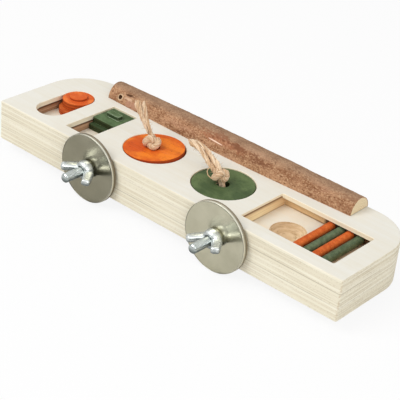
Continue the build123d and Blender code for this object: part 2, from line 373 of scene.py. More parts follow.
def overhand_knot(name, centre_frame, reach, height, thick, seed, strands=9, slipped=()):
    """A pulled overhand knot, as fine strands that follow one knotted line. slipped is a
    strand that has come out of it."""
    core = []
    for i in range(KNOT_STEPS):
        t = 2 * math.pi * i / KNOT_STEPS
        x = math.sin(t) + 2 * math.sin(2 * t)
        y = math.cos(t) - 2 * math.cos(2 * t)
        z = -math.sin(3 * t)
        core.append(Vector((x / 3 * reach, y / 3 * reach, z * height)))
    core.append(core[0].copy())
    frames = travelling_frames(core)
    skin = Skin()
    for strand in range(strands):
        centres = []
        radii = []
        for i, (centre, (_, side, other)) in enumerate(zip(core, frames)):
            angle = 2 * math.pi * (strand / strands + KNOT_TURNS * i / KNOT_STEPS)
            loose = 1 + 0.22 * noise.noise(Vector((i * 0.09, strand * 2.3, seed)))
            local = centre + turned_side(side, other, angle) * thick * KNOT_SPREAD * loose
            centres.append(centre_frame @ local)
            radii.append(thick * (0.235 + 0.07 * noise.noise(Vector((i * 0.2, strand, seed)))))
        add_strand(skin, centres, radii, sides=9, turns=7, tone=1 + seed + strand)
    # The dark heart strand fills the knot: painted shade in the gaps between its strands
    heart = [centre_frame @ point for point in core]
    add_strand(skin, heart, [thick * KNOT_HEART] * len(heart), sides=12)
    if slipped:
        add_strand(skin, slipped, [SLIPPED_RADIUS] * len(slipped), tone=2)
    return skin.piece(name, [])


HAIR_RADII = [0.00011, 0.00011, 0.0001, 0.00009, 0.00006, 0.00003]


def loose_fibres(name, line, reach, count, length, seed, start=0.3, stand=0.8):
    """Fine hairs that stand off a rope."""
    draw = random.Random(seed)
    frames = travelling_frames(line, start_side=(0, 1, 0))
    skin = Skin()
    for _ in range(count):
        i = draw.randrange(int(len(line) * start), len(line) - 2)
        tangent, side, other = frames[i]
        angle = draw.uniform(0, 2 * math.pi)
        outward = turned_side(side, other, angle)
        lean = tangent * draw.uniform(-0.2, 1.3) + outward * draw.uniform(0.2, stand)
        lean.normalize()
        curl = Vector([draw.uniform(-1, 1) for _ in range(3)]) * 0.4
        size = length * draw.uniform(0.5, 1.0)
        foot = line[i] + outward * reach * 0.8
        hair = []
        for step in range(len(HAIR_RADII)):
            t = step / (len(HAIR_RADII) - 1)
            hair.append(foot + (lean * t + curl * t * t) * size)
        add_strand(skin, hair, HAIR_RADII, sides=4, tone=2)
    return skin.piece(name, [])


def turned_about(place, degrees):
    """A frame moved to a place in millimetres and turned about X, Y and Z."""
    turn = Matrix.Identity(4)
    for angle, axis in zip(degrees, "XYZ"):
        turn = Matrix.Rotation(math.radians(angle), 4, axis) @ turn
    return Matrix.Translation(Vector(place) * MM) @ turn


# The yarns of each rope: how far round its line a yarn lies, in turns, how far from it and
# how thick it is, in millimetres, and how much of the line it covers. The first three are
# shares of the line's length and the values there.
TURN_AT = (0, 0.45, 0.65, 1)
ORANGE_YARNS = [
    (
        (TURN_AT, (0.20, 0.34, 0.5, 0.5)),
        ((0, 0.4, 0.68, 1), (0.9, 0.8, 1.0, 2.1)),
        ((0, 0.4, 0.6, 0.8, 0.93, 1), (1.1, 1.0, 1.2, 1.7, 2.1, 1.5)),
        1.0,
    ),
    (
        (TURN_AT, (-0.30, -0.16, 0, 0)),
        ((0, 0.4, 0.68, 1), (0.9, 0.8, 1.1, 2.2)),
        ((0, 0.4, 0.65, 0.85, 1), (1.1, 0.9, 1.2, 1.3, 0.6)),
        0.97,
    ),
]
GREEN_YARNS = [
    (
        ((0, 0.3, 1), turning),
        ((0, 0.25, 0.4, 0.75, 1), (1.0, 1.1, *spread, 1.1)),
        ((0, 0.3, 0.5, 0.85, 1), (1.0, 1.2, *thickness)),
        1.0,
    )
    for turning, spread, thickness in (
        ((0.5, 0.45, 0.75), (1.9, 1.6), (1.8, 1.5, 1.2)),
        ((0.17, 0.1, 0.42), (1.7, 1.5), (1.7, 1.4, 1.0)),
        ((-0.17, -0.2, 0.08), (1.8, 1.6), (1.7, 1.4, 1.0)),
    )
]
orange_rope = laid_rope("orange_rope_yarns", orange_line, ORANGE_YARNS)
green_rope = laid_rope("green_rope_yarns", green_line, GREEN_YARNS)

# One strand has slipped out of the green lid's knot and hangs beside it
SLIPPED_RADIUS = 0.0003
SLIPPED_STRAND = [
    (-6.2, -3.6, 9.2),
    (-8.4, -4.9, 8.8),
    (-8.5, -6.0, 7.0),
    (-6.9, -6.9, 5.4),
    (-4.4, -6.9, 4.4),
    (-2.2, -5.4, 4.0),
]
# How far below the lid's top each stop knot sits
ORANGE_STOP_DOWN = 0.0118
GREEN_STOP_DOWN = 0.0112

orange_knot = overhand_knot(
    "orange_knot_yarns",
    orange_top @ turned_about((-0.6, -1.3, 3.7), (10, 20, 92)),
    reach=0.0040, height=0.0021, thick=0.0021, seed=2,
)
green_knot = overhand_knot(
    "green_knot_yarns",
    green_top @ turned_about((-3.0, -0.6, 5.0), (-14, 4, 14)),
    reach=0.0040, height=0.0018, thick=0.0020, seed=5,
    slipped=[green_top @ (Vector(point) * MM) for point in SLIPPED_STRAND],
)
orange_stop = overhand_knot(
    "orange_stop_yarns",
    orange_top @ Matrix.Translation((0, 0, -ORANGE_STOP_DOWN)),
    reach=0.0024, height=0.0013, thick=0.0016, seed=8, strands=6,
)
green_stop = overhand_knot(
    "green_stop_yarns",
    green_top @ Matrix.Translation((0, 0, -GREEN_STOP_DOWN)),
    reach=0.0024, height=0.0012, thick=0.0013, seed=9, strands=6,
)
orange_fibres = loose_fibres("orange_fibres", orange_line[:-6], 0.0020, 60, 0.0024, 31)
green_fibres = loose_fibres(
    "green_fibres", green_line, 0.0024, 120, 0.0034, 37, start=0.2, stand=0.7
)

for piece, body, replaced in (
    (orange_rope, "orange_lid_set", ["orange_rope"]),
    (orange_knot, "orange_lid_set", ["orange_knot"]),
    (orange_stop, "orange_lid_set", ["orange_stop_knot"]),
    (orange_fibres, "orange_lid_set", []),
    (green_rope, "green_lid_set", ["green_rope"]),
    (green_knot, "green_lid_set", ["green_knot"]),
    (green_stop, "green_lid_set", ["green_stop_knot"]),
    (green_fibres, "green_lid_set", []),
):
    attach(piece, body)
    if replaced:
        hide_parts(*replaced)

# ---- shader helpers


class Wiring:
    """Places nodes in one node tree and joins them."""

    def __init__(self, tree):
        self.tree = tree

    def add(self, kind, inputs=None, **settings):
        """A node with its settings, and each named input set or linked."""
        node = self.tree.nodes.new("ShaderNode" + kind)
        for key, value in settings.items():
            setattr(node, key, value)
        for key, value in (inputs or {}).items():
            self.feed(node.inputs[key], value)
        return node

    def feed(self, socket, value):
        if isinstance(value, bpy.types.NodeSocket):
            self.tree.links.new(value, socket)
        else:
            socket.default_value = value

    def math(self, operation, a, b=0.0, c=0.0, clamp=False):
        node = self.add("Math", {0: a, 1: b, 2: c}, operation=operation, use_clamp=clamp)
        return node.outputs[0]

    def plus(self, a, b):
        return self.math("ADD", a, b)

    def minus(self, a, b):
        return self.math("SUBTRACT", a, b)

    def times(self, a, b, clamp=False):
        return self.math("MULTIPLY", a, b, clamp=clamp)

    def times_plus(self, a, b, c, clamp=False):
        """a times b, plus c."""
        return self.math("MULTIPLY_ADD", a, b, c, clamp)

    def absolute(self, a):
        return self.math("ABSOLUTE", a)

    def over(self, a, limit):
        """1 where a is over a limit, else 0."""
        return self.math("GREATER_THAN", a, limit)

    def under(self, a, limit):
        """1 where a is under a limit, else 0."""
        return self.math("LESS_THAN", a, limit)

    def reach(self, a, b):
        """How far off a point is, from its two distances."""
        return self.math("SQRT", self.plus(self.times(a, a), self.times(b, b)))

    def mix(self, factor, a, b, blend="MIX"):
        """Two colours mixed."""
        node = self.add("Mix", data_type="RGBA", blend_type=blend)
        self.feed(node.inputs["Factor"], factor)
        self.feed(node.inputs[6], a)
        self.feed(node.inputs[7], b)
        return node.outputs[2]

    def ramp(self, value, *stops):
        """A value through a row of (place, brightness) stops."""
        node = self.add("ValToRGB", {"Fac": value})
        while len(node.color_ramp.elements) < len(stops):
            node.color_ramp.elements.new(0.5)
        for element, (place, brightness) in zip(node.color_ramp.elements, stops):
            element.position = place
            element.color = (brightness,) * 3 + (1,)
        return node.outputs["Color"]

    def remap(self, value, low, high, new_low=0.0, new_high=1.0):
        node = self.add("MapRange", {0: value, 1: low, 2: high, 3: new_low, 4: new_high})
        return node.outputs[0]

    def cover(self, below, above, value, low, high, strength=1.0):
        """One colour covered by another, more and more as a value goes from low to high."""
        return self.mix(self.remap(value, low, high, 0.0, strength), below, above)

    def stretch(self, vector, scale):
        """A coordinate with its own scale along each axis."""
        return self.add("Mapping", {"Vector": vector, "Scale": scale}).outputs[0]

    def noise(self, vector, scale, detail=3.0, roughness=0.5, distortion=0.0):
        inputs = {"Vector": vector, "Scale": scale, "Detail": detail}
        inputs.update({"Roughness": roughness, "Distortion": distortion})
        return self.add("TexNoise", inputs).outputs[0]

    def streaks(self, vector, scale, detail=3.0, roughness=0.5, distortion=0.0):
        """Noise drawn out along some axes."""
        return self.noise(self.stretch(vector, scale), 1.0, detail, roughness, distortion)

    def place(self):
        return self.add("TexCoord").outputs["Object"]

    def facing(self):
        """The way the surface faces, along the object's own axes."""
        return self.split(self.add("TexCoord").outputs["Normal"])

    def split(self, vector):
        return self.add("SeparateXYZ", {0: vector}).outputs

    def vector(self, operation, a, b):
        """A sum on two vectors, which is a vector itself but for a dot product."""
        node = self.add("VectorMath", {0: a, 1: b}, operation=operation)
        return node.outputs["Value" if operation == "DOT_PRODUCT" else "Vector"]


def effect(name, inputs, outputs):
    """A node group that looks at a place: inputs are its other values and their defaults,
    outputs the names of the values that it gives."""
    group = bpy.data.node_groups.new(name, "ShaderNodeTree")
    group.interface.new_socket(name="Place", in_out="INPUT", socket_type="NodeSocketVector")
    number = "NodeSocketFloat"
    for label, default in inputs.items():
        socket = group.interface.new_socket(name=label, in_out="INPUT", socket_type=number)
        socket.default_value = default
    for label in outputs:
        group.interface.new_socket(name=label, in_out="OUTPUT", socket_type=number)
    source = group.nodes.new("NodeGroupInput").outputs
    sink = group.nodes.new("NodeGroupOutput").inputs
    return Wiring(group), source, sink


def use(wiring, name, inputs):
    """A placed copy of an effect, with its own values."""
    node = wiring.tree.nodes.new("ShaderNodeGroup")
    node.node_tree = bpy.data.node_groups[name]
    for key, value in inputs.items():
        wiring.feed(node.inputs[key], value)
    return node.outputs


def edge_band(wiring, place, width, raggedness):
    """How much a place is on an edge, for worn edges and for painted rim highlights."""
    values = {"Place": place, "Width": width, "Raggedness": raggedness}
    return use(wiring, "edge_mask", values)["Mask"]


def mottle(wiring, place, size):
    """Blotches and specks at a place."""
    return use(wiring, "mottle", {"Place": place, "Size": size})


def specked(wiring, height, spots):
    """A height roughened by specks."""
    return wiring.plus(wiring.times(height, 0.6), wiring.times(spots["Speck"], 0.4))


def finish_material(name, roughness=0.6, metallic=0.0, specular=0.5):
    """A new material and its wiring, with its shader's constants set."""
    material = bpy.data.materials.new(name)
    material.use_nodes = True
    shader = material.node_tree.nodes["Principled BSDF"]
    shader.inputs["Roughness"].default_value = roughness
    shader.inputs["Metallic"].default_value = metallic
    shader.inputs["Specular IOR Level"].default_value = specular
    return material, Wiring(material.node_tree), shader.inputs


def raise_bump(wiring, inputs, height, distance, strength):
    """Feeds a height to the shader's normal."""
    values = {"Height": height, "Distance": distance, "Strength": strength}
    wiring.feed(inputs["Normal"], wiring.add("Bump", values).outputs[0])


def srgb(red, green, blue):
    """A colour from its 0 to 255 screen values."""
    return tuple(
        (c / 255 / 12.92 if c / 255 <= 0.04045 else ((c / 255 + 0.055) / 1.055) ** 2.4)
        for c in (red, green, blue)
    ) + (1.0,)


# ---- shared effects


def make_wood_grain():
    """Long streaks along X: a fine fibre, broad bands and a height for both."""
    w, source, sink = effect(
        "wood_grain", {"Fineness": 1.0, "Waviness": 0.3}, ["Fibre", "Bands", "Height"]
    )
    sway = w.streaks(source["Place"], (8, 30, 30), 1.0)
    sway = w.times(w.minus(sway, 0.5), source["Waviness"])
    moved = w.vector("ADD", source["Place"], (0, 0.01, 0.01))
    pushed = w.add("CombineXYZ", {1: w.times(sway, 0.01), 2: w.times(sway, 0.01)})
    bent = w.vector("ADD", moved, pushed.outputs[0])
    inputs = {0: bent, "Scale": source["Fineness"]}
    scaled = w.add("VectorMath", inputs, operation="SCALE")
    fibre = w.streaks(scaled.outputs[0], (45, 1500, 1500), 3.0, 0.6)
    bands = w.streaks(scaled.outputs[0], (9, 260, 260), 3.0, 0.55)
    w.feed(sink["Fibre"], fibre)
    w.feed(sink["Bands"], bands)
    w.feed(sink["Height"], w.plus(w.times(fibre, 0.6), w.times(bands, 0.4)))


def make_edge_mask():
    """White where two faces meet at an outer or inner edge, broken up by a coarse noise."""
    w, source, sink = effect("edge_mask", {"Width": 0.0005, "Raggedness": 0.4}, ["Mask"])
    rounded = w.add("Bevel", {"Radius": source["Width"]}, samples=6).outputs[0]
    plain = w.add("NewGeometry").outputs["Normal"]
    edge = w.remap(w.vector("DOT_PRODUCT", rounded, plain), 0.995, 0.80)
    broken = w.minus(w.noise(source["Place"], 700.0, 3.0, 0.6), 0.5)
    broken = w.times(broken, w.times(source["Raggedness"], 4.0))
    w.feed(sink["Mask"], w.times(edge, w.plus(1.0, broken), clamp=True))


def make_mottle():
    """Soft blotches and fine specks."""
    w, source, sink = effect("mottle", {"Size": 100.0}, ["Blotch", "Speck"])
    w.feed(sink["Blotch"], w.noise(source["Place"], source["Size"], 4.0, 0.6))
    w.feed(sink["Speck"], w.noise(source["Place"], w.times(source["Size"], 9.0), 2.0, 0.7))


make_wood_grain()
make_edge_mask()
make_mottle()

# ---- materials

VENEER = srgb(234, 231, 221)
VENEER_WARM = srgb(229, 222, 204)
PLY_LIGHT = srgb(237, 231, 211)
PLY_DARK = srgb(217, 206, 180)
GLUE = srgb(176, 160, 130)
LIP_CREAM = srgb(250, 240, 216)
CHANNEL_BROWN = srgb(168, 122, 88)
# Painted shade for the channels under the lips and behind the rods
CHANNEL_SHADE = srgb(70, 40, 22)
TRAY_TAN = srgb(254, 234, 188)
TRAY_BROWN = srgb(206, 160, 112)
PLY_LAYER = 0.0015
# The openings in the board: how far they reach, their floor, and where their lips begin
POCKET_HALF_LENGTH = 0.1285
POCKET_FROM_Y = 0.0008
POCKET_TO_Y = 0.058
POCKET_FLOOR_Z = 0.0044
TRAY_FROM_X = 0.055
SLIDER_LIP_BASE = 0.0103
TRAY_LIP_BASE = 0.0107
TRAY_END_LIP_STEP = 0.0012
WELL_CENTRE = (0.0897, 0.0298)
WELL_TOP_Z = 0.00449
# The floor and wall where the rods' shade is painted, and the floor where light from the end wall
# is painted
SHADED_FROM_X = (0.0868, 0.0888)
SHADED_FROM_Y = (0.0488, 0.0512)
END_GLOW_X = (0.1030, 0.1150)
# Where the front corners have chipped
CORNER_X = (0.1366, 0.1374)
CORNER_Y = (0.0008, 0.0002)
FLANGE_BASE = 0.0047
SLIDER_LAYER = 0.00195


def look_at_board(w):
    """What the parts of the plywood all look at: a point's place, its way of facing and the
    noises they share."""
    at = SimpleNamespace(place=w.place())
    at.x, at.y, at.z = w.split(at.place)
    facing = w.facing()
    at.upright = facing[2]
    at.endwise = w.remap(w.absolute(facing[0]), 0.5, 0.8)
    at.grain = use(w, "wood_grain", {"Place": at.place, "Fineness": 1.0, "Waviness": 0.5})
    at.soft = w.streaks(at.place, (7, 7, 270), 3.0, 0.6)
    at.streak = w.streaks(at.place, (16, 16, 1100), 4.0, 0.65, 0.3)
    at.broken = w.remap(w.streaks(at.place, (45, 45, 240), 2.0), 0.46, 0.62)
    at.sway = w.streaks(at.place, (14, 14, 60), 2.0)
    at.swayed = w.times(w.minus(at.sway, 0.5), 0.4)
    return at


def veneer_face(w, at):
    """Sanded veneer, stained on the floor of the openings, with painted shade behind the rods and
    painted light by the tray's end wall.
    """
    spots = mottle(w, at.place, 45.0)
    face = w.cover(VENEER, VENEER_WARM, at.grain["Bands"], 0.38, 0.72, 0.55)
    face = w.cover(face, srgb(220, 212, 192), at.grain["Fibre"], 0.55, 0.8, 0.2)
    face = w.cover(face, VENEER_WARM, spots["Blotch"], 0.45, 0.75, 0.5)
    floor = w.times(w.under(at.z, 0.0060), w.over(at.z, POCKET_FLOOR_Z))
    stain = w.remap(w.streaks(at.place, (60, 90, 60), 3.0, 0.6), 0.35, 0.7, 0.25, 0.75)
    face = w.mix(w.times(floor, stain), face, srgb(238, 218, 186))
    # Painted shade: the floor behind the rods is darkened where they and the lip shade it
    painted_shade_behind_rods = w.times(floor, w.remap(at.y, *SHADED_FROM_Y))
    painted_shade_behind_rods = w.times(painted_shade_behind_rods, w.remap(at.x, *SHADED_FROM_X, 0.0, 0.8))
    face = w.mix(painted_shade_behind_rods, face, CHANNEL_SHADE)
    # Painted light: the floor by the tray's end wall is lightened where that wall throws light
    # onto it
    painted_light_by_end_wall = w.times(floor, w.remap(at.x, *END_GLOW_X, 0.0, 0.6))
    return w.mix(painted_light_by_end_wall, face, srgb(248, 208, 164))


def cut_layers(w, at):
    """The colour of a cut edge and its thin glue lines. The layers are turned across each
    other, so a long-grain layer on the front is end grain at the ends."""
    level = w.times_plus(at.z, 1 / PLY_LAYER, at.swayed)
    layer = w.math("FLOOR", level)
    inside = w.math("FRACT", level)
    turned = w.math("FLOORED_MODULO", w.plus(layer, w.over(at.endwise, 0.5)), 2.0)
    tone = w.add("TexWhiteNoise", {"W": layer}, noise_dimensions="1D").outputs[0]
    ply = w.mix(w.times_plus(turned, 0.22, w.times(tone, 0.3)), PLY_LIGHT, PLY_DARK)
    ply = w.cover(ply, srgb(214, 203, 176), at.soft, 0.45, 0.75, 0.6)
    ply = w.cover(ply, srgb(247, 243, 230), at.soft, 0.5, 0.28, 0.5)
    ply = w.cover(ply, srgb(196, 182, 152), at.streak, 0.56, 0.76, 0.55)
    pores = w.streaks(at.place, (900, 900, 1500), 2.0, 0.7)
    speckle = w.times(w.remap(pores, 0.5, 0.72, 0.0, 0.7), turned)
    ply = w.mix(speckle, ply, srgb(196, 180, 148))
    torn = w.streaks(at.place, (1.0, 700, 900), 3.0, 0.7)
    torn = w.times(at.endwise, w.remap(torn, 0.5, 0.72, 0.0, 0.5))
    ply = w.mix(torn, ply, srgb(188, 172, 142))
    joint = w.math("MINIMUM", inside, w.minus(1.0, inside))
    thin = w.times(w.remap(joint, 0.12, 0.02), w.times_plus(at.endwise, 0.35, 0.55))
    thin = w.times(thin, at.broken)
    ply = w.mix(thin, ply, GLUE)
    third = w.absolute(w.minus(w.absolute(at.z), 3 * PLY_LAYER))
    seam = w.times(w.remap(third, 0.00034, 0.0001), w.remap(at.sway, 0.38, 0.62, 0.1, 0.8))
    return w.mix(seam, ply, srgb(142, 128, 100)), thin


def opening_wall(w, at):
    """The walls of the openings: a pale lip, a painted shadow below it, a brown channel and
    painted shade behind the rods' ends.
    """
    in_tray = w.over(at.x, TRAY_FROM_X)
    base = w.times_plus(in_tray, TRAY_LIP_BASE - SLIDER_LIP_BASE, SLIDER_LIP_BASE)
    base = w.times_plus(w.times(in_tray, at.endwise), TRAY_END_LIP_STEP, base)
    above = w.plus(w.minus(at.z, base), w.times(at.swayed, 0.0003))
    lip = w.cover(LIP_CREAM, srgb(238, 222, 190), at.soft, 0.4, 0.7)
    brown = w.cover(CHANNEL_BROWN, srgb(204, 164, 132), at.soft, 0.36, 0.64)
    brown = w.cover(brown, srgb(112, 76, 50), at.streak, 0.5, 0.7)
    brown = w.cover(brown, srgb(190, 158, 122), at.z, 0.0068, 0.0046, 0.45)
    tan = w.cover(TRAY_TAN, srgb(240, 210, 162), at.soft, 0.38, 0.66)
    tan = w.cover(tan, TRAY_BROWN, at.y, 0.028, 0.049, 0.55)
    tan = w.cover(tan, srgb(160, 116, 74), at.streak, 0.52, 0.72, 0.6)
    wall = w.cover(w.mix(in_tray, brown, tan), lip, above, -0.0003, 0.0002)
    # Painted shadow: a dark line on the wall just under the lip
    painted_shadow_under_lip = w.times(w.remap(above, 0.0002, -0.0001), w.remap(above, -0.0019, -0.0007))
    line = w.mix(in_tray, CHANNEL_SHADE, srgb(128, 88, 54))
    wall = w.mix(w.times(painted_shadow_under_lip, 0.95), wall, line)
    foot = w.times(w.remap(at.z, 0.0056, 0.0049), w.remap(at.broken, 0.0, 1.0, 0.45, 0.95))
    wall = w.mix(foot, wall, srgb(120, 84, 54))
    # Painted shade: the far wall under the lip is darkened behind the rods' ends
    painted_shade_by_rod_ends = w.times(w.remap(at.x, *SHADED_FROM_X), w.remap(above, 0.0, -0.0006))
    painted_shade_by_rod_ends = w.times(painted_shade_by_rod_ends, w.over(at.y, 0.049))
    return w.mix(w.times(painted_shade_by_rod_ends, 0.9), wall, CHANNEL_SHADE)


def cut_well(w, at):
    """A food well, with curved streaks where the cutter went through the layers, and painted
    shade towards its left and back.
    """
    drift = w.streaks(at.place, (110, 110, 110), 3.0, 0.6)
    ring = w.times_plus(drift, 9.0, w.times(at.z, 3600.0))
    rings = w.remap(w.math("SINE", ring), -0.6, 1.0)
    scratch = w.streaks(at.place, (240, 240, 1500), 3.0, 0.7)
    bowl = w.mix(w.times(rings, 0.55), srgb(244, 220, 182), srgb(214, 182, 138))
    bowl = w.cover(bowl, srgb(158, 122, 82), scratch, 0.5, 0.72, 0.8)
    # Painted shade: the bowl darkens towards its left and back, broken up by the drift
    shade = w.times_plus(drift, 0.8, -0.45)
    shade = w.times_plus(w.minus(at.x, WELL_CENTRE[0]), -34.0, shade)
    shade = w.times_plus(w.minus(at.y, WELL_CENTRE[1]), 18.0, shade, clamp=True)
    return w.mix(w.times(shade, 0.8), bowl, srgb(168, 130, 88))


def make_plywood():
    """Sanded birch plywood: plain veneer on top, layers on every cut edge, routed openings."""
    material, w, shader = finish_material("birch_plywood", roughness=0.62, specular=0.2)
    at = look_at_board(w)
    ply, glue_lines = cut_layers(w, at)
    inner_x = w.under(w.absolute(at.x), POCKET_HALF_LENGTH)
    inner_y = w.times(w.over(at.y, POCKET_FROM_Y), w.under(at.y, POCKET_TO_Y))
    pocket = w.times(inner_x, w.times(inner_y, w.over(at.z, POCKET_FLOOR_Z)))
    ply = w.mix(pocket, ply, opening_wall(w, at))
    flat = w.remap(w.absolute(at.upright), 0.80, 0.97)
    colour = w.mix(flat, ply, veneer_face(w, at))
    well = w.times(w.under(w.absolute(at.z), WELL_TOP_Z), w.remap(at.upright, 0.02, 0.1))
    colour = w.mix(well, colour, cut_well(w, at))
    edge = edge_band(w, at.place, 0.0007, 0.5)
    colour = w.mix(w.times(edge, 0.4), colour, srgb(246, 240, 220))
    corner = w.times(w.remap(w.absolute(at.x), *CORNER_X), w.remap(at.y, *CORNER_Y))
    chipped = w.remap(w.streaks(at.place, (300, 300, 420), 3.0, 0.6), 0.44, 0.6, 0.0, 0.75)
    colour = w.mix(w.times(corner, chipped), colour, srgb(176, 146, 104))
    w.feed(shader["Base Color"], colour)
    w.feed(shader["Roughness"], w.remap(at.grain["Fibre"], 0.3, 0.7, 0.55, 0.72))
    layers = w.times_plus(at.streak, 0.7, w.times(glue_lines, -0.8))
    raise_bump(w, shader, w.mix(flat, layers, at.grain["Height"]), 0.00012, 0.5)
    return material


# The tones of each stain: light, dark and deep, and on wood that is cut from a board also those
# of its cut and worn edges, which on the green knob are a painted highlight as well
STAINS = {
    "orange": [(244, 132, 38), (216, 92, 28), (164, 58, 18), (150, 56, 22), (206, 96, 40)],
    "orange_slider": [
        (242, 128, 58), (218, 96, 38), (132, 52, 18), (192, 84, 34), (246, 140, 82)
    ],
    "green": [(98, 116, 74), (72, 90, 56), (48, 62, 36), (44, 54, 32), (62, 78, 50)],
    "green_slider": [(96, 118, 80), (72, 92, 58), (30, 36, 18), (54, 62, 34), (150, 176, 132)],
    "green_knob": [(102, 124, 86), (80, 100, 64), (50, 64, 38), (50, 68, 40), (216, 234, 200)],
    "orange_rod": [(228, 118, 54), (206, 92, 36), (144, 60, 22)],
    "green_rod": [(108, 122, 92), (80, 96, 68), (42, 52, 34)],
}


def make_stained_wood(stain, size, stepped=False, edge_wear_and_highlight=0.5, pale_edge_width=0.0006):
    """Water stain: blotches on the flat, more of it on the cut edges, pale at the corners from
    wear and, on the green knob, from a painted highlight as well. A stepped one has grooves
    between its layers and painted shade below its top plate."""
    light, dark, deep, rim, worn = (srgb(*tone) for tone in STAINS[stain])
    material, w, shader = finish_material(f"{stain}_stain", roughness=0.6, specular=0.16)
    place = w.place()
    z = w.split(place)[2]
    upright = w.facing()[2]
    grain = use(w, "wood_grain", {"Place": place, "Fineness": 0.5, "Waviness": 3.0})
    spots = mottle(w, place, size)
    broad = w.noise(w.stretch(place, (1.0, 1.3, 1.0)), size * 0.6, 2.0, 0.5, 0.6)
    colour = w.cover(dark, light, broad, 0.40, 0.60)
    colour = w.cover(colour, dark, spots["Blotch"], 0.50, 0.68, 0.65)
    colour = w.cover(colour, deep, spots["Speck"], 0.56, 0.72, 0.55)
    colour = w.cover(colour, deep, grain["Bands"], 0.58, 0.74, 0.55)
    side = w.remap(w.absolute(upright), 0.75, 0.3)
    edge_tone = w.cover(rim, deep, spots["Blotch"], 0.35, 0.65)
    if stepped:
        sway = w.times(w.minus(spots["Blotch"], 0.5), 0.35)
        level = w.times_plus(w.minus(z, FLANGE_BASE), 1 / SLIDER_LAYER, sway)
        groove = w.remap(w.absolute(w.minus(w.math("FRACT", level), 0.5)), 0.26, 0.42)
        edge_tone = w.mix(w.times(groove, 0.9), rim, deep)
        # Painted shade: the slider darkens below the top of its plate
        shadowed = w.remap(z, 0.0121, 0.0100, 0.0, 0.5)
        colour = w.mix(shadowed, colour, deep)
    colour = w.mix(w.times(side, 0.9), colour, edge_tone)
    # Pale corners: worn, and on the green knob also a painted highlight along its rim
    edge = edge_band(w, place, pale_edge_width, 0.9 - 0.5 * edge_wear_and_highlight)
    colour = w.mix(w.times(edge, edge_wear_and_highlight), colour, worn)
    w.feed(shader["Base Color"], colour)
    w.feed(shader["Roughness"], w.remap(grain["Fibre"], 0.3, 0.7, 0.5, 0.7))
    raise_bump(w, shader, specked(w, grain["Height"], spots), 0.0003, 0.7)
    return material


def make_stained_rod(stain):
    """A stained dowel, whose grain runs along Y and whose ends are dark, with painted shade along
    its underside.
    """
    light, dark, deep = (srgb(*tone) for tone in STAINS[stain])
    material, w, shader = finish_material(f"{stain}_stain", roughness=0.6, specular=0.16)
    place = w.place()
    x, y, z = w.split(place)
    along = w.add("CombineXYZ", {0: y, 1: x, 2: z}).outputs[0]
    end = w.remap(w.absolute(w.facing()[1]), 0.6, 0.9)
    grain = use(w, "wood_grain", {"Place": along, "Fineness": 0.6, "Waviness": 1.2})
    spots = mottle(w, place, 330.0)
    colour = w.cover(light, dark, spots["Blotch"], 0.38, 0.62)
    colour = w.cover(colour, deep, spots["Speck"], 0.52, 0.70, 0.75)
    colour = w.cover(colour, deep, grain["Bands"], 0.52, 0.72, 0.5)
    colour = w.mix(w.times(end, 0.8), colour, deep)
    # Painted shade: the dowel darkens towards its underside, near the floor
    low = w.remap(z, 0.0070, 0.0052, 0.0, 0.75)
    colour = w.mix(low, colour, deep)
    w.feed(shader["Base Color"], colour)
    raise_bump(w, shader, specked(w, grain["Height"], spots), 0.0003, 0.7)
    return material


# Marks on the bark: place, direction, half length and half width in millimetres, how
# ragged the edge is, how strong the mark is and its colour
STRAIGHT = (1.0, 0.0, 0.0)
BARK_MARKS = [
    ((3.0, 59.2, 21.0), STRAIGHT, 20.0, 2.6, 2.6, 0.5, srgb(170, 108, 78)),
    ((-77.3, 58.0, 16.4), STRAIGHT, 9.0, 2.2, 2.2, 0.6, srgb(198, 150, 126)),
    ((-80.7, 59.5, 18.7), STRAIGHT, 4.0, 1.1, 1.2, 0.7, srgb(222, 186, 156)),
    ((-80.9, 61.1, 20.5), (0.99, 0.06, 0.1), 3.9, 0.9, 1.4, 0.95, srgb(84, 54, 36)),
    ((-4.0, 61.6, 22.5), STRAIGHT, 9.0, 2.6, 3.4, 0.65, srgb(140, 90, 64)),
    ((16.5, 59.8, 21.4), STRAIGHT, 14.0, 1.6, 4.2, 0.75, srgb(122, 78, 54)),
    ((33.5, 58.6, 19.5), STRAIGHT, 6.0, 2.2, 3.4, 0.75, srgb(122, 78, 54)),
    ((-3.4, 58.05, 19.6), (0.998, -0.04, -0.048), 6.9, 0.5, 0.5, 0.95, srgb(246, 214, 190)),
    ((-87.4, 59.2, 17.6), STRAIGHT, 2.5, 2.5, 0.5, 0.9, srgb(220, 188, 152)),
    ((-87.4, 59.2, 17.6), STRAIGHT, 1.65, 1.65, 0.4, 1.0, srgb(66, 40, 24)),
]


